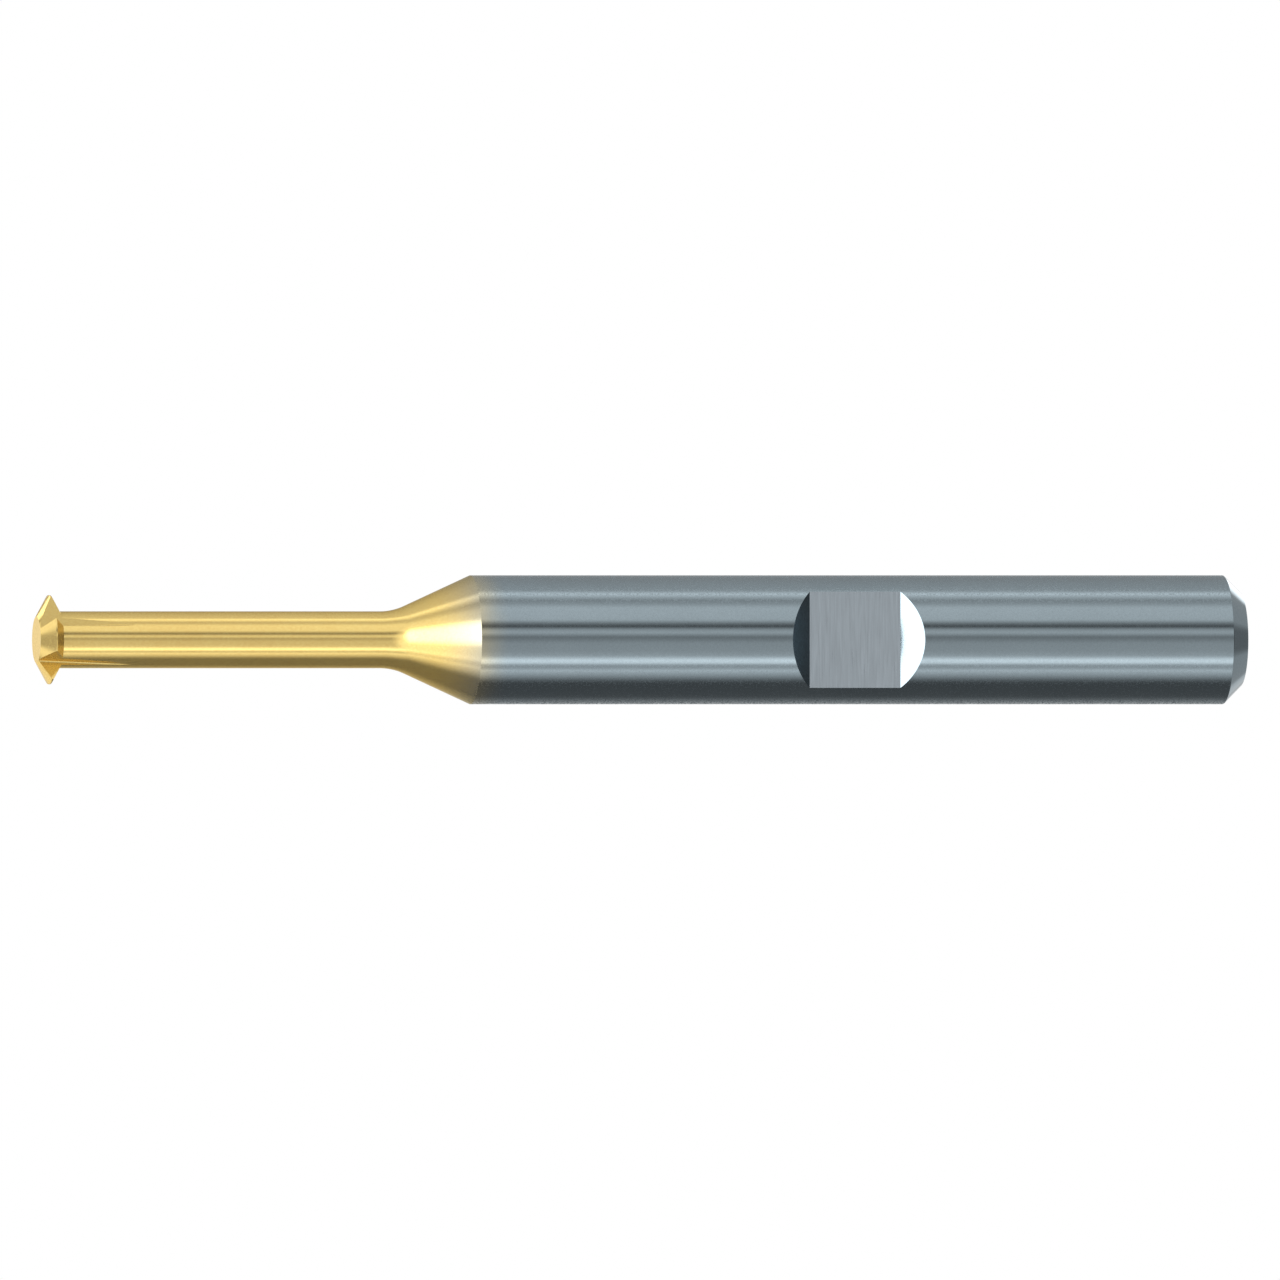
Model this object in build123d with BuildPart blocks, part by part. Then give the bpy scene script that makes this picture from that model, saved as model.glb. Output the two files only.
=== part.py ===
from build123d import *

import os
from math import cos, radians, sin, tan

# Solid carbide thread mill, a form-type end mill, in millimetres.
# The tool lies along X with its cutting end towards -X and its clamping flat facing -Y.
# The origin is on the tool's axis, at the middle of the clamping flat.

# Whole tool and shank
overall_length = 57.0
shank_diameter = 6.0
shank_length = 36.46  # from the cone's rear edge to the rear face
shank_chamfer = 0.83  # 45 degree lead-in at the rear face
flat_from_rear = 18.6  # middle of the clamping flat to the rear face
flat_floor_length = 4.3
flat_depth = 1.0  # below the shank's round surface
flat_wall_slope = 45.5  # end walls of the flat, from its floor

# Cone and neck
neck_diameter = 2.65
cone_half_angle = 24.5
neck_fillet_radius = 2.8  # where the neck runs into the cone

# Cutting head: one ridge with a 60 degree thread form, parted into teeth
cutting_diameter = 4.15
thread_angle = 60.0
crest_width = 0.06
crest_from_face = 0.6  # middle of the crest to the front face
tooth_count = 4
rake_position = 28.6  # first tooth's rake face, turned from -Y towards +Z

# Gullets: straight grooves that rise towards the neck's surface and run out on it
gullet_root_radius = 1.09  # from the tool's axis to the V's corner, at the front face
gullet_rise = 2.7  # degrees, along the axis
gullet_opening = 78.5  # degrees between the rake face and the wall behind the tooth ahead
gullet_corner_radius = 0.09  # rounds the V's corner
cutter_overrun = 0.5  # how far the groove's tool passes the ends of the groove

shank_radius = shank_diameter / 2
neck_radius = neck_diameter / 2
cutting_radius = cutting_diameter / 2

rear_x = flat_from_rear
front_x = rear_x - overall_length
shank_front_x = rear_x - shank_length

# Thread form, as distances behind the front face
flank_slope = tan(radians(thread_angle / 2))
crest_front = crest_from_face - crest_width / 2
crest_rear = crest_from_face + crest_width / 2
tooth_height = cutting_radius - neck_radius
ridge_front = crest_front - tooth_height * flank_slope
ridge_rear = crest_rear + tooth_height * flank_slope
face_radius = cutting_radius - crest_front / flank_slope
head_rear_x = front_x + ridge_rear

# Cone, with the fillet that leads the neck into it
cone_length = (shank_radius - neck_radius) / tan(radians(cone_half_angle))
cone_corner_x = shank_front_x - cone_length
fillet_reach = neck_fillet_radius * tan(radians(cone_half_angle / 2))
neck_rear_x = cone_corner_x - fillet_reach
fillet_end_x = cone_corner_x + fillet_reach * cos(radians(cone_half_angle))
fillet_end_radius = neck_radius + fillet_reach * sin(radians(cone_half_angle))

tooth_pitch = 360 / tooth_count
tooth_sector = 0.95 * tooth_pitch  # ends inside the gullet behind the tooth

os.makedirs("parts", exist_ok=True)


def radial_direction(angle):
    """Direction away from the tool's axis, turned by angle from -Y towards +Z."""
    return Vector(0, -cos(radians(angle)), sin(radians(angle)))


def rake_angle(tooth):
    """Place of a tooth's rake face round the axis."""
    return rake_position + tooth * tooth_pitch


def gullet_profile(tooth):
    """Section of the groove in front of a tooth's rake face, square to the groove's root."""
    outward = radial_direction(rake_angle(tooth))
    backward = Vector(1, 0, 0)
    rise = radians(gullet_rise)
    start_radius = gullet_root_radius - cutter_overrun * tan(rise)
    section = Plane(
        origin=backward * (front_x - cutter_overrun) + outward * start_radius,
        x_dir=outward * cos(rise) - backward * sin(rise),
        z_dir=backward * cos(rise) + outward * sin(rise),
    )
    wall_out = cutting_diameter * cos(radians(gullet_opening))
    wall_across = cutting_diameter * sin(radians(gullet_opening))
    with BuildSketch(section) as profile:
        with BuildLine():
            Polyline(
                (0, 0),
                (cutting_diameter, 0),
                (cutting_diameter, -wall_across),
                (wall_out, -wall_across),
                close=True,
            )
        make_face()
        root_corner = profile.vertices().sort_by_distance(section.origin)[0]
        fillet(root_corner, radius=gullet_corner_radius)
    return profile.sketch


def gullet_length():
    """Length of groove until its wall has left the neck."""
    last_radius = neck_radius / sin(radians(gullet_opening))
    run_out = (last_radius - gullet_root_radius) / tan(radians(gullet_rise))
    return run_out + 2 * cutter_overrun


# Shank: plain cylinder with a chamfered rear end and one clamping flat
flat_floor_y = flat_depth - shank_radius
flat_wall_run = shank_radius / tan(radians(flat_wall_slope))
wall_joint_x = -flat_floor_length
with BuildPart() as shank:
    with BuildSketch(Plane.XZ):
        with BuildLine():
            Polyline(
                (shank_front_x, 0),
                (shank_front_x, shank_radius),
                (rear_x - shank_chamfer, shank_radius),
                (rear_x, shank_radius - shank_chamfer),
                (rear_x, 0),
                close=True,
            )
        make_face()
    revolve(axis=Axis.X)
    with BuildSketch(Plane.XY):
        with BuildLine():
            Polyline(
                (-flat_floor_length / 2, flat_floor_y),
                (flat_floor_length / 2, flat_floor_y),
                (flat_floor_length / 2 + flat_wall_run, flat_floor_y - shank_radius),
                (-flat_floor_length / 2 - flat_wall_run, flat_floor_y - shank_radius),
                close=True,
            )
        make_face()
    extrude(amount=shank_radius, both=True, mode=Mode.SUBTRACT)
    # The round wall is two bands, ahead of the flat and from there to the rear chamfer,
    # so that the middle of each band is fully round: halve the solid, then close its skin again
    split(bisect_by=Plane.YZ.offset(wall_joint_x), keep=Keep.BOTH)
    inner_faces = shank.faces().filter_by_position(Axis.X, wall_joint_x, wall_joint_x)
    skin = Shell(shank.faces() - inner_faces)
    add(Solid(skin), clean=False, mode=Mode.REPLACE)
shank.part.label = "shank"
export_step(shank.part, "parts/shank.step")

# Transition cone: from the neck's fillet up to the shank's full diameter
with BuildPart() as transition_cone:
    with BuildSketch(Plane.XZ):
        with BuildLine():
            Line((neck_rear_x, 0), (neck_rear_x, neck_radius))
            TangentArc((neck_rear_x, neck_radius), (fillet_end_x, fillet_end_radius), tangent=(1, 0))
            Polyline(
                (fillet_end_x, fillet_end_radius),
                (shank_front_x, shank_radius),
                (shank_front_x, 0),
                (neck_rear_x, 0),
            )
        make_face()
    revolve(axis=Axis.X)
transition_cone.part.label = "transition_cone"
export_step(transition_cone.part, "parts/transition_cone.step")

# Neck: slender cylinder with the gullets running out on its front end
with BuildPart() as neck:
    with BuildSketch(Plane.XZ):
        with BuildLine():
            Polyline(
                (head_rear_x, 0),
                (head_rear_x, neck_radius),
                (neck_rear_x, neck_radius),
                (neck_rear_x, 0),
                close=True,
            )
        make_face()
    revolve(axis=Axis.X)
    for tooth_index in range(tooth_count):
        extrude(gullet_profile(tooth_index), amount=gullet_length(), mode=Mode.SUBTRACT)
neck.part.label = "neck"
export_step(neck.part, "parts/neck.step")

# Head hub: core of the cutting head, with the foot of the front flank and the gullets' roots
with BuildPart() as head_hub:
    with BuildSketch(Plane.XZ):
        with BuildLine():
            Polyline(
                (front_x, 0),
                (front_x, face_radius),
                (front_x + ridge_front, neck_radius),
                (head_rear_x, neck_radius),
                (head_rear_x, 0),
                close=True,
            )
        make_face()
    revolve(axis=Axis.X)
    for tooth_index in range(tooth_count):
        extrude(gullet_profile(tooth_index), amount=gullet_length(), mode=Mode.SUBTRACT)
head_hub.part.label = "head_hub"
export_step(head_hub.part, "parts/head_hub.step")

# Teeth: the ridge above the hub, from each rake face back to the gullet behind it
for tooth_index in range(tooth_count):
    rake_plane = Plane(
        origin=(0, 0, 0),
        x_dir=(1, 0, 0),
        z_dir=Vector(1, 0, 0).cross(radial_direction(rake_angle(tooth_index))),
    )
    with BuildPart() as tooth:
        with BuildSketch(rake_plane):
            with BuildLine():
                Polyline(
                    (front_x + ridge_front, neck_radius),
                    (front_x + crest_front, cutting_radius),
                    (front_x + crest_rear, cutting_radius),
                    (front_x + ridge_rear, neck_radius),
                    close=True,
                )
            make_face()
        revolve(axis=Axis.X, revolution_arc=tooth_sector)
        extrude(gullet_profile(tooth_index - 1), amount=gullet_length(), mode=Mode.SUBTRACT)
    tooth_name = f"tooth_{tooth_index + 1}"
    tooth.part.label = tooth_name
    export_step(tooth.part, f"parts/{tooth_name}.step")
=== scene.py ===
"""Solid carbide thread mill: the looks of the tool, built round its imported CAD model."""

from math import atan2, ceil, cos, pi, radians, sin, tan, tau

import bmesh
import bpy
from bpy.props import FloatProperty, FloatVectorProperty, PointerProperty
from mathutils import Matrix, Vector


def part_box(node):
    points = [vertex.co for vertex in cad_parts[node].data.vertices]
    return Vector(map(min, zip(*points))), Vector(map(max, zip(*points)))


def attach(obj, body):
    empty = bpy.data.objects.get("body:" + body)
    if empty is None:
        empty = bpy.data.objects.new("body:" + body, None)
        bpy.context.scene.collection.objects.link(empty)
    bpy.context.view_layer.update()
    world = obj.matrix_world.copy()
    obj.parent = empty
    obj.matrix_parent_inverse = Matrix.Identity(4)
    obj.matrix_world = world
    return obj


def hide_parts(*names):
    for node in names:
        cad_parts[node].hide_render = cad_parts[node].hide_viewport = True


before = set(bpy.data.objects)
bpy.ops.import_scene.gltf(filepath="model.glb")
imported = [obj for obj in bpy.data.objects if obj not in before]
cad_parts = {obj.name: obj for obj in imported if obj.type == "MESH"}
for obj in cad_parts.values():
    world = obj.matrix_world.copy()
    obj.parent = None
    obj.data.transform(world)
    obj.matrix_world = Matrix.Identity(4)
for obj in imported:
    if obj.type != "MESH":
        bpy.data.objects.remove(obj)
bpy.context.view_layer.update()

bl_info = {
    "name": "Thread mill",
    "version": (1, 0, 0),
    "blender": (4, 5, 0),
    "location": "3D View > Sidebar > Thread mill",
    "description": "Builds a coated solid carbide thread mill, a form-type end mill, on its CAD model",
    "category": "Add Mesh",
}

MM = 0.001  # one millimetre in scene units
TOOTH_COUNT = sum(name.startswith("tooth_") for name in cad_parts)
FACETS = 360  # round the whole tool
ARC_STEP = radians(1.5)  # facets along a rounded corner of an outline
SHARP_ANGLE = radians(8)  # edges that turn more than this stay sharp
JOIN_DISTANCE = 1e-8  # points nearer than this become one
ON_AXIS = 1e-9  # points nearer the tool's axis than this lie on it
END_LEAN = 0.3  # faces of the shank that lean more than this along the tool are ends

# The carbide's grain is under a micron; it is drawn this wide so that it shows
DUST_SIZE = 0.09 * MM
SPECK_SIZE = 0.08 * MM

# Height of the grinding marks, drawn on the normal
SHANK_RELIEF = 0.00025 * MM
FLAT_RELIEF = 0.001 * MM
COATING_RELIEF = 0.0003 * MM


def linear(hex_colour):
    """Linear red, green and blue of an sRGB colour written as six hex digits."""
    channels = [int(hex_colour[i : i + 2], 16) / 255 for i in (0, 2, 4)]
    return tuple(c / 12.92 if c <= 0.04045 else ((c + 0.055) / 1.055) ** 2.4 for c in channels)


# ---------------------------------------------------------------- settings


def length(name, description, default):
    return FloatProperty(
        name=name,
        description=description,
        default=default,
        precision=5,
        subtype="DISTANCE",
        unit="LENGTH",
    )


def angle(name, description, degrees):
    return FloatProperty(
        name=name, description=description, default=radians(degrees), subtype="ANGLE"
    )


def share(name, description, default):
    return FloatProperty(
        name=name, description=description, default=default, min=0, max=1, subtype="FACTOR"
    )


def colour(name, description, hex_colour):
    return FloatVectorProperty(
        name=name,
        description=description,
        default=linear(hex_colour),
        size=3,
        min=0,
        max=1,
        subtype="COLOR",
    )


class ThreadMillSizes(bpy.types.PropertyGroup):
    """Sizes of the tool. Those that the CAD boxes give are read from them."""

    shank_radius: length("Shank radius", "Half the shank's diameter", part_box("shank")[1].z)
    shank_front: length("Shank front", "Rear end of the cone, along the tool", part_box("shank")[0].x)
    shank_rear: length("Shank rear", "Rear face, along the tool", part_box("shank")[1].x)
    shank_chamfer: length("Shank chamfer", "45 degree lead-in at the rear face", 0.83 * MM)
    edge_break: length("Edge break", "Radius on both edges of the shank's chamfer", 0.05 * MM)
    flat_length: length("Flat length", "Floor of the clamping flat, along the tool", 4.3 * MM)
    flat_depth: length("Flat depth", "Floor of the flat below the shank's round surface", 1.0 * MM)
    flat_wall_slope: angle("Flat wall slope", "End walls of the flat, from its floor", 45.5)
    neck_radius: length("Neck radius", "Half the neck's diameter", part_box("neck")[1].z)
    neck_front: length("Neck front", "Rear end of the head, along the tool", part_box("neck")[0].x)
    neck_rear: length("Neck rear", "Front end of the fillet, along the tool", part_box("neck")[1].x)
    neck_fillet: length("Neck fillet", "Radius that leads the neck into the cone", 2.8 * MM)
    cone_half_angle: angle("Cone half angle", "Side of the cone, from the tool's axis", 24.5)
    head_front: length("Head front", "Front face, along the tool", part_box("head_hub")[0].x)
    cutting_radius: length("Cutting radius", "Tool's axis to the teeth's crests", 2.075 * MM)
    crest_width: length("Crest width", "Flat crest of the thread form", 0.06 * MM)
    crest_from_face: length("Crest from face", "Middle of the crest behind the front face", 0.6 * MM)
    flank_angle: angle("Flank angle", "Each flank of the thread form, from square across", 30)
    rake_position: angle("Rake position", "First rake face, turned from -Y towards +Z", 28.6)
    tooth_sector: angle("Tooth sector", "Ridge swept behind a rake face before its end is cut", 85.5)
    gullet_root: length("Gullet root", "Tool's axis to its corner, at the front face", 1.09 * MM)
    gullet_rise: angle("Gullet rise", "Its corner, from the tool's axis", 2.7)
    gullet_opening: angle("Gullet opening", "Rake face to the opposite wall", 78.5)
    gullet_corner: length("Gullet corner", "Radius in its corner", 0.09 * MM)
    gullet_overrun: length("Gullet overrun", "How far the wheel passes the gullet's ends", 0.5 * MM)


class ThreadMillFinishes(bpy.types.PropertyGroup):
    """Colours and finishes of the tool."""

    carbide: colour("Carbide", "Ground tungsten carbide", "94A2A9")
    flat_carbide: colour("Flat carbide", "Ground tungsten carbide of the flat's floor", "C3CED6")
    coating: colour("Coating", "Titanium nitride", "EED284")
    coating_edge: colour("Coating edge", "Titanium nitride seen at a shallow angle", "F7EBCB")
    fade_middle: length("Fade middle", "Where half of the coating is left, along the tool", -18.2 * MM)
    fade_length: length("Fade length", "Full coating to bare carbide", 3.6 * MM)
    coating_metallic: share("Coating metallic", "How far it reflects as a metal", 0.87)
    # Painted shade: darkens the coating's colour in the gullets, where the recess lies in shade
    gullet_painted_shade: share("Gullet depth", "Brightness of the coating's colour in the gullets", 0.87)
    shank_roughness: share("Shank roughness", "Shank, but for the floor of its flat", 0.1)
    flat_roughness: share("Flat roughness", "Floor of the clamping flat", 0.3)
    coating_roughness: share("Coating roughness", "Neck, cone and head, but for the gullets", 0.12)
    gullet_roughness: share("Gullet roughness", "Gullets in front of the teeth", 0.22)
    shank_specks: share("Shank specks", "Roughness that a speck adds where it is seen edge-on", 0.65)
    coating_specks: share("Coating specks", "The same, on neck, cone and head", 0.2)


class ThreadMillStudio(bpy.types.PropertyGroup):
    """Camera, light and floor."""

    camera_turn: angle("Camera turn", "Camera round the tool, from -Y towards -X", 10.7)
    camera_distance: length("Camera distance", "Camera to the tool", 0.4)
    view_width: length("View width", "Width of the picture at the tool", 59.57 * MM)
    view_middle: length("View middle", "Middle of the picture, along the tool", -9.81 * MM)
    view_drop: length("View drop", "Middle of the picture below the tool's axis", 0.01 * MM)
    box_turn: angle("Softbox turn", "Softbox round the tool, from -Y towards -X", 62)
    box_raise: angle("Softbox raise", "Softbox above the horizon", 40)
    box_distance: length("Softbox distance", "Softbox to the tool", 0.4)
    box_width: length("Softbox width", "Across", 0.56)
    box_height: length("Softbox height", "Upright", 0.36)
    box_brightness: FloatProperty(
        name="Softbox brightness", description="Against the white wall", default=1.0
    )
    floor_colour: colour("Floor colour", "Matt paper under the tool", "F4F4F2")
    floor_width: length("Floor width", "Side of the square of paper", 4.0)


# ---------------------------------------------------------------- outlines and meshes


def rounded(corners):
    """Outline through (along, out, radius) corners; each corner with a radius becomes an arc."""
    points = [Vector(corner[:2]) for corner in corners]
    outline = []
    for i, corner in enumerate(corners):
        here, radius = points[i], corner[2]
        if radius == 0:
            outline.append(here)
            continue
        before = (points[i - 1] - here).normalized()
        after = (points[(i + 1) % len(points)] - here).normalized()
        half_angle = before.angle(after) / 2
        centre = here + (before + after).normalized() * radius / sin(half_angle)
        first = here + before * radius / tan(half_angle) - centre
        turn = atan2(before.x * after.y - before.y * after.x, before.dot(after))
        sweep = -(pi - abs(turn)) if turn > 0 else pi - abs(turn)
        steps = max(2, ceil(abs(sweep) / ARC_STEP))
        start = atan2(first.y, first.x)
        for step in range(steps + 1):
            along_arc = start + sweep * step / steps
            outline.append(centre + Vector((cos(along_arc), sin(along_arc))) * radius)
    return outline


def radial(turn):
    """Direction away from the tool's axis, turned from -Y towards +Z."""
    return Vector((0, -cos(turn), sin(turn)))


def finished(mesh, name):
    """Piece with a mesh's shape, smooth but for its real edges, riding on the tool's one body."""
    mesh.name = name
    joined = bmesh.new()
    joined.from_mesh(mesh)
    bmesh.ops.remove_doubles(joined, verts=joined.verts, dist=JOIN_DISTANCE)
    bmesh.ops.recalc_face_normals(joined, faces=joined.faces)
    joined.to_mesh(mesh)
    joined.free()
    mesh.shade_smooth()
    mesh.set_sharp_from_angle(angle=SHARP_ANGLE)
    piece = bpy.data.objects.new(name, mesh)
    bpy.context.scene.collection.objects.link(piece)
    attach(piece, "root")
    return piece


def turned(outline, first=0.0, sweep=tau):
    """Mesh that an outline sweeps round the tool's axis; a part of a turn is closed at both ends."""
    whole = sweep == tau
    facets = ceil(FACETS * sweep / tau)
    turns = [first + sweep * i / facets for i in range(facets if whole else facets + 1)]
    made = bmesh.new()
    rings = []
    for point in outline:
        centre = Vector((point.x, 0, 0))
        if point.y < ON_AXIS:
            rings.append([made.verts.new(centre)] * len(turns))
        else:
            rings.append([made.verts.new(centre + radial(turn) * point.y) for turn in turns])
    ring_pairs = list(zip(rings, rings[1:]))
    if not whole:
        ring_pairs.append((rings[-1], rings[0]))
        made.faces.new([ring[0] for ring in rings])
        made.faces.new([ring[-1] for ring in rings])
    for ring, following in ring_pairs:
        for i in range(len(turns) if whole else len(turns) - 1):
            j = (i + 1) % len(turns)
            corners = dict.fromkeys((ring[i], ring[j], following[j], following[i]))
            made.faces.new(list(corners))
    return to_mesh(made)


def extruded(section, step):
    """Closed prism on a loop of points."""
    made = bmesh.new()
    near = [made.verts.new(point) for point in section]
    far = [made.verts.new(point + step) for point in section]
    made.faces.new(near)
    made.faces.new(far)
    for i in range(len(section)):
        made.faces.new((near[i - 1], near[i], far[i], far[i - 1]))
    return to_mesh(made)


def to_mesh(made):
    """Mesh of what was made, with its faces turned outward."""
    bmesh.ops.recalc_face_normals(made, faces=made.faces)
    mesh = bpy.data.meshes.new("mesh")
    made.to_mesh(mesh)
    made.free()
    return mesh


def two_slots(mesh):
    """Gives a mesh two empty material slots."""
    while len(mesh.materials) < 2:
        mesh.materials.append(None)


def carved(mesh, cutters):
    """The mesh with every cutter's space taken out; the faces that this leaves get material slot 1."""
    collection = bpy.context.scene.collection
    two_slots(mesh)
    block = bpy.data.objects.new("block", mesh)
    collection.objects.link(block)
    tools = []
    for cutter in cutters:
        two_slots(cutter)
        cutter.polygons.foreach_set("material_index", [1] * len(cutter.polygons))
        tool = bpy.data.objects.new("tool", cutter)
        collection.objects.link(tool)
        tools.append(tool)
        cut = block.modifiers.new("cut", "BOOLEAN")
        cut.operation = "DIFFERENCE"
        cut.solver = "EXACT"
        cut.object = tool
    evaluated = block.evaluated_get(bpy.context.evaluated_depsgraph_get())
    result = bpy.data.meshes.new_from_object(evaluated)
    for used in (block, *tools):
        bpy.data.objects.remove(used)
    if not result.polygons:
        raise RuntimeError("the cut left nothing of the mesh")
    return result


def gullet(sizes, tooth):
    """Space that the grinding wheel takes out in front of a tooth's rake face."""
    rise = sizes.gullet_rise
    outward = radial(sizes.rake_position + tooth * tau / TOOTH_COUNT)
    backward = Vector((1, 0, 0))
    start_radius = sizes.gullet_root - sizes.gullet_overrun * tan(rise)
    origin = backward * (sizes.head_front - sizes.gullet_overrun) + outward * start_radius
    up = outward * cos(rise) - backward * sin(rise)
    along = backward * cos(rise) + outward * sin(rise)
    across = along.cross(up)
    reach = 2 * sizes.cutting_radius
    wall = Vector((cos(sizes.gullet_opening), -sin(sizes.gullet_opening))) * reach
    profile = rounded(
        [(0, 0, sizes.gullet_corner), (reach, 0, 0), (reach, wall.y, 0), (wall.x, wall.y, 0)]
    )
    section = [origin + up * point.x + across * point.y for point in profile]
    last_radius = sizes.neck_radius / sin(sizes.gullet_opening)
    travel = (last_radius - sizes.gullet_root) / tan(rise) + 2 * sizes.gullet_overrun
    return extruded(section, along * travel)


def gullets(sizes):
    """Space of every gullet, one for each tooth."""
    return [gullet(sizes, tooth) for tooth in range(TOOTH_COUNT)]


# ---------------------------------------------------------------- materials


def node(tree, kind, inputs=None, **options):
    """A new node with its options, and its inputs set to values or linked to sockets."""
    made = tree.nodes.new(kind)
    for name, value in options.items():
        setattr(made, name, value)
    for socket, value in (inputs or {}).items():
        if isinstance(value, bpy.types.NodeSocket):
            tree.links.new(value, made.inputs[socket])
        else:
            made.inputs[socket].default_value = value
    return made


def new_material(name):
    """Empty material, its node tree and its shader."""
    material = bpy.data.materials.new(name)
    material.use_nodes = True
    tree = material.node_tree
    tree.nodes.clear()
    shader = node(tree, "ShaderNodeBsdfPrincipled")
    node(tree, "ShaderNodeOutputMaterial", {"Surface": shader.outputs["BSDF"]})
    return material, tree, shader


def place(tree):
    """Place on the tool, in the frame that it is built in."""
    return node(tree, "ShaderNodeTexCoord").outputs["Object"]


def marks_across(tree, width, run):
    """Streaks of a wheel that grinds square across the tool, of a width and a run in metres."""
    stretched = node(
        tree, "ShaderNodeMapping", {"Vector": place(tree), "Scale": (1 / width, 1 / run, 1 / run)}
    )
    streaks = node(
        tree,
        "ShaderNodeTexNoise",
        {"Vector": stretched.outputs["Vector"], "Scale": 1.0, "Detail": 2.0, "Roughness": 0.6},
    )
    return streaks.outputs["Fac"]


def grain(tree, size, detail=1.0):
    """Speckle of a size in metres."""
    speckle = node(
        tree, "ShaderNodeTexNoise", {"Vector": place(tree), "Scale": 1 / size, "Detail": detail}
    )
    return speckle.outputs["Fac"]


def ranged(tree, value, low, high, steps="LINEAR", source=(0.0, 1.0)):
    """The value, spread from one range to another."""
    spread = node(
        tree,
        "ShaderNodeMapRange",
        {"Value": value, "From Min": source[0], "From Max": source[1], "To Min": low, "To Max": high},
        interpolation_type=steps,
    )
    return spread.outputs["Result"]


def mixed(tree, share_socket, first, second):
    """Colour between two colours, whose sockets go by number because their names repeat."""
    blend = node(
        tree, "ShaderNodeMix", {"Factor": share_socket, 6: first, 7: second}, data_type="RGBA"
    )
    return blend.outputs[2]


def opaque(rgb):
    """Colour with the fourth channel that a colour socket takes."""
    return (*rgb, 1.0)


def scaled(rgb, *shares):
    """Colour with its channels scaled, all by one share or each by its own."""
    return tuple(c * shares[i % len(shares)] for i, c in enumerate(rgb))


def uneven(tree, cloud_size):
    """Share that drifts over the surface in clouds of a size, with a fine dusting on top."""
    clouds = grain(tree, cloud_size, 2.0)
    dust = ranged(tree, grain(tree, DUST_SIZE, 0.0), -0.25, 1.25)
    both = node(tree, "ShaderNodeMath", {0: clouds, 1: dust}, operation="ADD").outputs["Value"]
    return ranged(tree, both, 0.0, 1.0, source=(0.5, 1.5))


def coating_left(tree, finishes):
    """Share of the coating: whole on the cone, none on the shank, with a cloudy edge between."""
    along = node(tree, "ShaderNodeSeparateXYZ", {"Vector": place(tree)}).outputs["X"]
    cloud_reach = 0.15 * MM
    cloud = ranged(tree, grain(tree, 0.7 * MM, 3.0), -cloud_reach, cloud_reach)
    shifted = node(tree, "ShaderNodeMath", {0: along, 1: cloud}, operation="ADD").outputs["Value"]
    half = finishes.fade_length / 2
    ends = (finishes.fade_middle - half, finishes.fade_middle + half)
    return ranged(tree, shifted, 1.0, 0.0, "SMOOTHSTEP", ends)


def ground_bump(tree, shader, height):
    """Relief of the grinding marks and of the carbide's grain, drawn on the shader's normal."""
    # Real marks are a few microns apart; they are drawn 0.05 mm wide so that they show
    marks = marks_across(tree, 0.05 * MM, 1.5 * MM)
    dust = grain(tree, DUST_SIZE)
    both = node(tree, "ShaderNodeMath", {0: marks, 1: dust}, operation="ADD").outputs["Value"]
    bump = node(tree, "ShaderNodeBump", {"Height": both, "Strength": 1.0, "Distance": height})
    tree.links.new(bump.outputs["Normal"], shader.inputs["Normal"])


def marked_gloss(tree, shader, roughness, marks, speck_roughness):
    """Roughness that follows the grinding marks, with dull specks that show at a shallow angle."""
    plain = ranged(tree, marks, roughness * 0.85, roughness * 1.15)
    specks = ranged(tree, grain(tree, SPECK_SIZE, 0.0), 0.0, speck_roughness, source=(0.4, 0.7))
    shallow = node(tree, "ShaderNodeLayerWeight", {"Blend": 0.5}).outputs["Facing"]
    speckled = node(
        tree, "ShaderNodeMath", {0: specks, 1: shallow, 2: plain}, operation="MULTIPLY_ADD"
    )
    tree.links.new(speckled.outputs["Value"], shader.inputs["Roughness"])


def centreless_ground_carbide(finishes):
    """Solid tungsten carbide, centreless ground: a dark blue-grey metal whose long reflections are
    crisp, with a fine dusting of grain; a breath of coating is left where the cone meets it."""
    return ground_carbide("centreless_ground_carbide", finishes, finishes.shank_specks)


def wheel_ground_carbide(finishes):
    """The same carbide, ground with the side of a fine wheel: as dark and crisp, with no specks."""
    return ground_carbide("wheel_ground_carbide", finishes, 0.0)


def ground_carbide(name, finishes, speck_roughness):
    """Tungsten carbide with fine marks round the tool, and the roughness that a speck adds."""
    material, tree, shader = new_material(name)
    darker, lighter = scaled(finishes.carbide, 0.92), scaled(finishes.carbide, 1.01)
    bare = mixed(tree, uneven(tree, 3 * MM), opaque(darker), opaque(lighter))
    base = mixed(tree, coating_left(tree, finishes), bare, opaque(finishes.coating))
    tree.links.new(base, shader.inputs["Base Color"])
    shader.inputs["Metallic"].default_value = 1.0
    marks = marks_across(tree, 0.3 * MM, 2 * MM)
    marked_gloss(tree, shader, finishes.shank_roughness, marks, speck_roughness)
    ground_bump(tree, shader, SHANK_RELIEF)
    return material


def surface_ground_carbide(finishes):
    """The same carbide, surface ground with a coarser wheel: a paler satin with upright streaks."""
    material, tree, shader = new_material("surface_ground_carbide")
    streaks = ranged(tree, marks_across(tree, 0.08 * MM, 1.6 * MM), 0.0, 1.0, source=(0.25, 0.75))
    darker = scaled(finishes.flat_carbide, 0.82)
    base = mixed(tree, streaks, opaque(darker), opaque(finishes.flat_carbide))
    tree.links.new(base, shader.inputs["Base Color"])
    shader.inputs["Metallic"].default_value = 1.0
    roughness = finishes.flat_roughness
    gloss = ranged(tree, streaks, roughness * 0.9, roughness * 1.1)
    tree.links.new(gloss, shader.inputs["Roughness"])
    bump = node(tree, "ShaderNodeBump", {"Height": streaks, "Strength": 1.0, "Distance": FLAT_RELIEF})
    tree.links.new(bump.outputs["Normal"], shader.inputs["Normal"])
    return material


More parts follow.
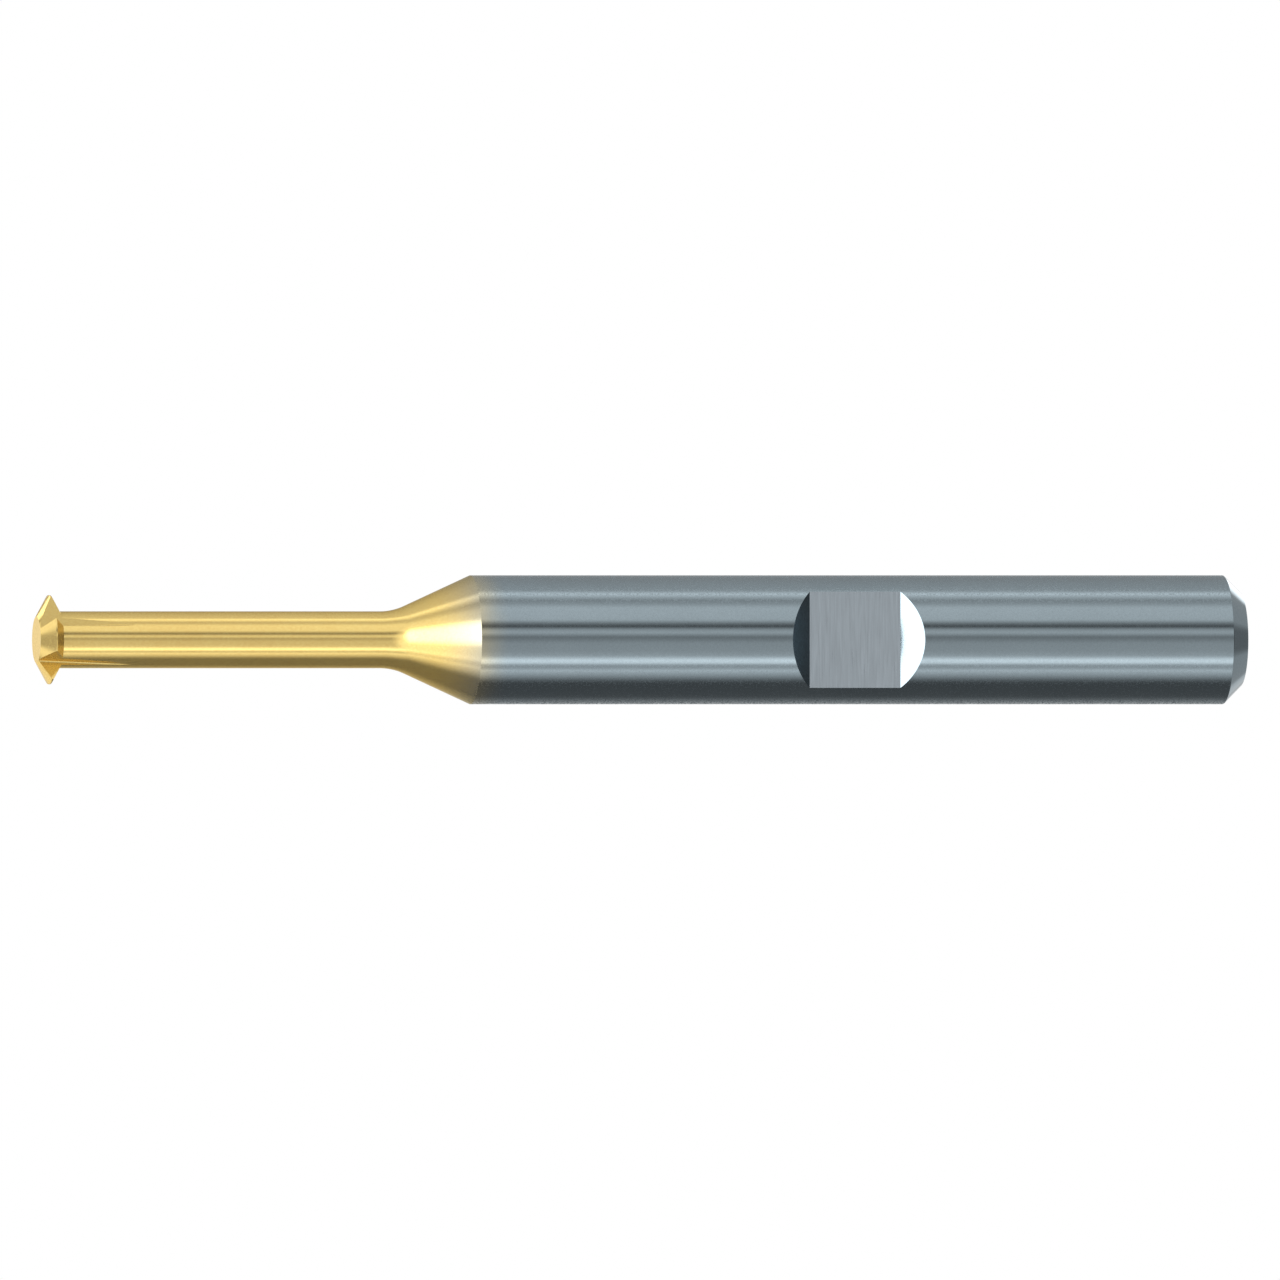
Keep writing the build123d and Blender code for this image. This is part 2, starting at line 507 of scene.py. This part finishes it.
def titanium_nitride(name, finishes):
    """Titanium nitride, vapour deposited on ground carbide: a warm pale gold metal that keeps the
    grinding marks under it; it thins out to bare carbide at the shank."""
    return nitride(name, finishes, 1.0, finishes.coating_roughness)


def gullet_nitride(name, finishes):
    """The same coating in the gullets, over the marks of a coarser wheel: duller, and darker by
    painted shade in the recesses.
    """
    return nitride(name, finishes, finishes.gullet_painted_shade, finishes.gullet_roughness)


def nitride(name, finishes, depth, roughness):
    """Titanium nitride darkened by a depth share, 1 for none and less in the gullets as painted shade,
    and a roughness.
    """
    material, tree, shader = new_material(name)
    # Below 1, depth darkens the coating's colour: painted shade for the gullets' recesses
    pale = scaled(finishes.coating, depth)
    deeper, paler = scaled(pale, 0.97, 0.92, 0.86), scaled(pale, 1.02)
    coated = mixed(tree, uneven(tree, 2 * MM), opaque(deeper), opaque(paler))
    base = mixed(tree, coating_left(tree, finishes), opaque(finishes.carbide), coated)
    tree.links.new(base, shader.inputs["Base Color"])
    shader.inputs["Metallic"].default_value = finishes.coating_metallic
    shader.inputs["Specular Tint"].default_value = opaque(finishes.coating_edge)
    marks = marks_across(tree, 0.2 * MM, 2 * MM)
    marked_gloss(tree, shader, roughness, marks, finishes.coating_specks)
    ground_bump(tree, shader, COATING_RELIEF)
    return material


def matt_paper(studio):
    """White background paper, uncoated: plain and pale, with no shine."""
    material, tree, shader = new_material("matt_paper")
    darker = scaled(studio.floor_colour, 0.98)
    base = mixed(tree, grain(tree, 20 * MM), opaque(darker), opaque(studio.floor_colour))
    tree.links.new(base, shader.inputs["Base Color"])
    shader.inputs["Roughness"].default_value = 1.0
    shader.inputs["Specular IOR Level"].default_value = 0.0
    return material


def set_materials(mesh, *materials):
    """Puts materials in the mesh's slots, in order, and leaves its faces in the slots they are in."""
    for i, material in enumerate(materials):
        if i < len(mesh.materials):
            mesh.materials[i] = material
        else:
            mesh.materials.append(material)


def shared(name, make, finishes):
    """The material of this name if it is there already, or a new one."""
    return bpy.data.materials.get(name) or make(name, finishes)


# ---------------------------------------------------------------- pieces


def shank(sizes, finishes):
    """Shank: round bar with a chamfered rear end and a clamping flat on its -Y side."""
    radius, chamfer, edge = sizes.shank_radius, sizes.shank_chamfer, sizes.edge_break
    bar = turned(
        rounded(
            [
                (sizes.shank_front, 0, 0),
                (sizes.shank_front, radius, 0),
                (sizes.shank_rear - chamfer, radius, edge),
                (sizes.shank_rear, radius - chamfer, edge),
                (sizes.shank_rear, 0, 0),
            ]
        )
    )
    floor_y = sizes.flat_depth - radius
    half = sizes.flat_length / 2
    wall_run = radius / tan(sizes.flat_wall_slope)
    section = [
        Vector((-half, floor_y, -radius)),
        Vector((half, floor_y, -radius)),
        Vector((half + wall_run, floor_y - radius, -radius)),
        Vector((-half - wall_run, floor_y - radius, -radius)),
    ]
    wheel = extruded(section, Vector((0, 0, 2 * radius)))
    piece = finished(carved(bar, [wheel]), "shank_piece")
    round_slot, flat_slot, end_slot = 0, 1, 2
    set_materials(
        piece.data,
        centreless_ground_carbide(finishes),
        surface_ground_carbide(finishes),
        wheel_ground_carbide(finishes),
    )
    for face in piece.data.polygons:
        if abs(face.normal.x) > END_LEAN:
            face.material_index = end_slot
        elif face.material_index != flat_slot:
            face.material_index = round_slot
    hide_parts("shank")


def coated(piece, finishes, cad_node):
    """Gives a piece the coating, and sets it in the place of its CAD node."""
    finish = [shared("titanium_nitride_coating", titanium_nitride, finishes)]
    if len(piece.data.materials) > 1:
        # The gullets' faces get the coating darkened as painted shade
        finish.append(shared("titanium_nitride_in_gullets", gullet_nitride, finishes))
    set_materials(piece.data, *finish)
    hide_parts(cad_node)


def transition_cone(sizes, finishes):
    """Transition cone, with the fillet that leads the neck into it."""
    rise = sizes.shank_radius - sizes.neck_radius
    corner_x = sizes.shank_front - rise / tan(sizes.cone_half_angle)
    outline = rounded(
        [
            (sizes.neck_rear, 0, 0),
            (sizes.neck_rear, sizes.neck_radius, 0),
            (corner_x, sizes.neck_radius, sizes.neck_fillet),
            (sizes.shank_front, sizes.shank_radius, 0),
            (sizes.shank_front, 0, 0),
        ]
    )
    coated(finished(turned(outline), "cone_piece"), finishes, "transition_cone")


def neck(sizes, finishes):
    """Neck, with the gullets running out on its front end."""
    outline = rounded(
        [
            (sizes.neck_front, 0, 0),
            (sizes.neck_front, sizes.neck_radius, 0),
            (sizes.neck_rear, sizes.neck_radius, 0),
            (sizes.neck_rear, 0, 0),
        ]
    )
    coated(finished(carved(turned(outline), gullets(sizes)), "neck_piece"), finishes, "neck")


def ridge(sizes):
    """Thread form along the tool: its front foot, its crest's front and rear, and its rear foot."""
    slope = tan(sizes.flank_angle)
    height = sizes.cutting_radius - sizes.neck_radius
    middle = sizes.head_front + sizes.crest_from_face
    front = middle - sizes.crest_width / 2
    rear = middle + sizes.crest_width / 2
    return front - height * slope, front, rear, rear + height * slope


def head_hub(sizes, finishes):
    """Core of the cutting head, with the foot of the front flank and the gullets' roots."""
    front_foot, crest_front, _, _ = ridge(sizes)
    face_radius = sizes.cutting_radius - (crest_front - sizes.head_front) / tan(sizes.flank_angle)
    outline = rounded(
        [
            (sizes.head_front, 0, 0),
            (sizes.head_front, face_radius, 0),
            (front_foot, sizes.neck_radius, 0),
            (sizes.neck_front, sizes.neck_radius, 0),
            (sizes.neck_front, 0, 0),
        ]
    )
    coated(finished(carved(turned(outline), gullets(sizes)), "hub_piece"), finishes, "head_hub")


def teeth(sizes, finishes):
    """Teeth: the ridge above the hub, from each rake face back to the gullet behind it."""
    front_foot, crest_front, crest_rear, rear_foot = ridge(sizes)
    outline = rounded(
        [
            (front_foot, sizes.neck_radius, 0),
            (crest_front, sizes.cutting_radius, 0),
            (crest_rear, sizes.cutting_radius, 0),
            (rear_foot, sizes.neck_radius, 0),
        ]
    )
    for tooth in range(TOOTH_COUNT):
        rake = sizes.rake_position + tooth * tau / TOOTH_COUNT
        sector = turned(outline, rake - sizes.tooth_sector, sizes.tooth_sector)
        cut = carved(sector, [gullet(sizes, tooth - 1)])
        number = tooth + 1
        coated(finished(cut, f"tooth_{number}_piece"), finishes, f"tooth_{number}")


# ---------------------------------------------------------------- stage

# Tent of white, grey and black panels that lie along the tool, each fading into the next: their
# direction round the tool, in degrees from -Y towards +Z, and their brightness, 1 for plain white.
LONG_PANELS = (
    (-180, 0.9),
    (-155, 0.5),
    (-140, 0.33),
    (-125, 0.15),
    (-84, 0.13),
    (-78, 0.25),
    (-61, 1.0),
    (-57, 1.25),
    (-53, 0.85),
    (-50, 0.72),
    (-46, 0.8),
    (-42, 1.7),
    (-37, 1.9),
    (-33, 1.3),
    (-29, 0.85),
    (-20, 0.7),
    (-6, 0.66),
    (0, 0.5),
    (5, 0.38),
    (13, 0.9),
    (18, 0.72),
    (24, 0.12),
    (30, 0.45),
    (36, 0.98),
    (60, 1.04),
    (68, 0.7),
    (76, 0.55),
    (84, 1.0),
    (91, 1.5),
    (98, 0.7),
    (120, 0.6),
    (150, 0.4),
)
LONG_PEAK = 2.0  # the ramp holds shares of this brightness

# Ends of the tent, beyond the cutting head and beyond the shank: their brightness, and where they
# meet the long panels, as the direction's share along the tool.
LEFT_END = 1.15
LEFT_END_FADE = (-0.85, -0.6)
RIGHT_END = 0.54
RIGHT_END_FADE = (0.35, 0.7)

# Round lights and dark gaps in the tent: their turn from -Y towards -X and their height above the
# horizon, the radius within which they are full and the one at which they end, all in degrees, and
# their brightness.
ROUND_PANELS = (
    ("softbox's glow", 50, -1, 8, 50, 1.5),
    ("softbox", 50, 10, 12, 26, 3.7),
    ("softbox's left wing", 82, 0, 9, 15, 3.8),
    ("gap left of the softbox", 109, -1, 4, 13, 0.4),
    ("gap at the tent's right end", -101, 0, 6, 14, 0.26),
    ("gap in front of it", -72, 0, 12, 22, 0.1),
    ("gap on the right, in front", -49, 2, 12, 30, 0.08),
    ("rear light, right", -150, 14, 5, 19, 2.2),
    ("rear light, lower right", -143, -21, 5, 13, 0.9),
    ("rear light, left", 156, 18, 6, 15, 2.4),
    ("rear light, low", 170, -2, 5, 12, 1.05),
    ("rear light, lower left", 158, -16, 8, 16, 1.1),
)


def facing(turn, height):
    """Direction from the tool, turned from -Y towards -X and raised."""
    return Vector((-sin(turn) * cos(height), -cos(turn) * cos(height), sin(height)))


def blended(tree, share_socket, first, second):
    """Number between two numbers, whose sockets go by number too."""
    blend = node(
        tree, "ShaderNodeMix", {"Factor": share_socket, 2: first, 3: second}, data_type="FLOAT"
    )
    return blend.outputs[0]


def tent(world):
    """World of the tent for shiny surfaces, and plain white for everything else."""
    world.use_nodes = True
    tree = world.node_tree
    tree.nodes.clear()
    direction = node(tree, "ShaderNodeTexCoord").outputs["Generated"]
    parts = node(tree, "ShaderNodeSeparateXYZ", {"Vector": direction}).outputs
    front = node(tree, "ShaderNodeMath", {0: parts["Y"], 1: -1.0}, operation="MULTIPLY")
    turn = node(
        tree, "ShaderNodeMath", {0: parts["Z"], 1: front.outputs["Value"]}, operation="ARCTAN2"
    )
    around = ranged(tree, turn.outputs["Value"], 0.0, 1.0, source=(-pi, pi))
    ramp = node(tree, "ShaderNodeValToRGB", {"Fac": around})
    stops = ramp.color_ramp.elements
    while len(stops) > 1:
        stops.remove(stops[0])
    for i, (degrees, brightness) in enumerate(LONG_PANELS):
        position = (degrees + 180) / 360
        stop = stops[0] if i == 0 else stops.new(position)
        stop.position = position
        stop.color = opaque([brightness / LONG_PEAK] * 3)
    panels = node(
        tree, "ShaderNodeMath", {0: ramp.outputs["Color"], 1: LONG_PEAK}, operation="MULTIPLY"
    )
    left = ranged(tree, parts["X"], 1.0, 0.0, "SMOOTHSTEP", LEFT_END_FADE)
    right = ranged(tree, parts["X"], 0.0, 1.0, "SMOOTHSTEP", RIGHT_END_FADE)
    seen = blended(tree, left, panels.outputs["Value"], LEFT_END)
    seen = blended(tree, right, seen, RIGHT_END)
    for _, turn_left, raised, full, end, brightness in ROUND_PANELS:
        middle = facing(radians(turn_left), radians(raised))
        nearness = node(
            tree, "ShaderNodeVectorMath", {0: direction, 1: middle}, operation="DOT_PRODUCT"
        )
        limits = (cos(radians(end)), cos(radians(full)))
        inside = ranged(tree, nearness.outputs["Value"], 0.0, 1.0, "SMOOTHSTEP", limits)
        seen = blended(tree, inside, seen, brightness)
    shiny = node(tree, "ShaderNodeLightPath").outputs["Is Glossy Ray"]
    seen = blended(tree, shiny, 1.0, seen)
    light = node(tree, "ShaderNodeBackground", {"Color": (1, 1, 1, 1), "Strength": seen})
    node(tree, "ShaderNodeOutputWorld", {"Surface": light.outputs["Background"]})


def softbox(studio):
    """Softbox to the left in front of the tool. Shiny surfaces see a round panel in its place."""
    lamp = bpy.data.lights.new("softbox", "AREA")
    lamp.shape = "RECTANGLE"
    lamp.size = studio.box_width
    lamp.size_y = studio.box_height
    lamp.energy = studio.box_brightness * pi * studio.box_width * studio.box_height
    light = bpy.data.objects.new("softbox", lamp)
    away = facing(studio.box_turn, studio.box_raise)
    light.location = away * studio.box_distance
    light.rotation_mode = "QUATERNION"
    light.rotation_quaternion = away.to_track_quat("Z", "Y")
    light.visible_camera = False
    light.visible_glossy = False
    bpy.context.scene.collection.objects.link(light)


def camera(studio):
    """Level camera, without perspective."""
    lens = bpy.data.cameras.new("camera")
    lens.type = "ORTHO"
    lens.ortho_scale = studio.view_width
    lens.clip_start = 0.01
    lens.clip_end = 10
    view = bpy.data.objects.new("camera", lens)
    away = facing(studio.camera_turn, 0.0)
    middle = Vector((studio.view_middle, 0, -studio.view_drop))
    view.location = middle + away * studio.camera_distance
    view.rotation_mode = "QUATERNION"
    view.rotation_quaternion = away.to_track_quat("Z", "Y")
    bpy.context.scene.collection.objects.link(view)
    bpy.context.scene.camera = view


def floor(sizes, studio):
    """Sheet of paper that the shank lies on. Shiny surfaces look past it, into the tent."""
    half = studio.floor_width / 2
    made = bmesh.new()
    corners = [(-half, -half), (half, -half), (half, half), (-half, half)]
    made.faces.new([made.verts.new((x, y, -sizes.shank_radius)) for x, y in corners])
    mesh = to_mesh(made)
    mesh.name = "floor"
    mesh.materials.append(matt_paper(studio))
    sheet = bpy.data.objects.new("floor", mesh)
    sheet.visible_glossy = False
    bpy.context.scene.collection.objects.link(sheet)


# ---------------------------------------------------------------- operators and panel


def settings(context):
    """Sizes and finishes that the user has set."""
    scene = context.scene
    return scene.thread_mill_sizes, scene.thread_mill_finishes


class THREADMILL_OT_shank(bpy.types.Operator):
    """Build the ground shank with its clamping flat"""

    bl_idname = "thread_mill.shank"
    bl_label = "Shank"

    def execute(self, context):
        shank(*settings(context))
        return {"FINISHED"}


class THREADMILL_OT_cone(bpy.types.Operator):
    """Build the cone between shank and neck"""

    bl_idname = "thread_mill.cone"
    bl_label = "Transition cone"

    def execute(self, context):
        transition_cone(*settings(context))
        return {"FINISHED"}


class THREADMILL_OT_neck(bpy.types.Operator):
    """Build the neck with the ends of the gullets"""

    bl_idname = "thread_mill.neck"
    bl_label = "Neck"

    def execute(self, context):
        neck(*settings(context))
        return {"FINISHED"}


class THREADMILL_OT_hub(bpy.types.Operator):
    """Build the core of the cutting head"""

    bl_idname = "thread_mill.hub"
    bl_label = "Head hub"

    def execute(self, context):
        head_hub(*settings(context))
        return {"FINISHED"}


class THREADMILL_OT_teeth(bpy.types.Operator):
    """Build the teeth of the cutting head"""

    bl_idname = "thread_mill.teeth"
    bl_label = "Teeth"

    def execute(self, context):
        teeth(*settings(context))
        return {"FINISHED"}


class THREADMILL_OT_stage(bpy.types.Operator):
    """Set up the light tent, the softbox, the floor and the camera"""

    bl_idname = "thread_mill.stage"
    bl_label = "Stage"

    def execute(self, context):
        scene = context.scene
        studio = scene.thread_mill_studio
        scene.view_settings.view_transform = "Standard"
        scene.world = bpy.data.worlds.new("tent")
        tent(scene.world)
        softbox(studio)
        camera(studio)
        floor(scene.thread_mill_sizes, studio)
        return {"FINISHED"}


OPERATORS = (
    THREADMILL_OT_shank,
    THREADMILL_OT_cone,
    THREADMILL_OT_neck,
    THREADMILL_OT_hub,
    THREADMILL_OT_teeth,
    THREADMILL_OT_stage,
)


class THREADMILL_PT_panel(bpy.types.Panel):
    """Lists the pieces and the settings of the thread mill"""

    bl_label = "Thread mill"
    bl_idname = "THREADMILL_PT_panel"
    bl_space_type = "VIEW_3D"
    bl_region_type = "UI"
    bl_category = "Thread mill"

    def draw(self, context):
        layout = self.layout
        for operator in OPERATORS:
            layout.operator(operator.bl_idname)
        scene = context.scene
        for group_name in GROUPS:
            group = getattr(scene, group_name)
            box = layout.box()
            for name in group.__annotations__:
                box.prop(group, name)


GROUPS = {
    "thread_mill_sizes": ThreadMillSizes,
    "thread_mill_finishes": ThreadMillFinishes,
    "thread_mill_studio": ThreadMillStudio,
}


def register():
    for made in (*GROUPS.values(), *OPERATORS, THREADMILL_PT_panel):
        bpy.utils.register_class(made)
    for name, group in GROUPS.items():
        setattr(bpy.types.Scene, name, PointerProperty(type=group))


def unregister():
    for name in GROUPS:
        delattr(bpy.types.Scene, name)
    for made in (THREADMILL_PT_panel, *reversed(OPERATORS), *reversed(GROUPS.values())):
        bpy.utils.unregister_class(made)


def main():
    register()
    bpy.ops.thread_mill.shank()
    bpy.ops.thread_mill.cone()
    bpy.ops.thread_mill.neck()
    bpy.ops.thread_mill.hub()
    bpy.ops.thread_mill.teeth()
    bpy.ops.thread_mill.stage()


if __name__ == "__main__":
    main()
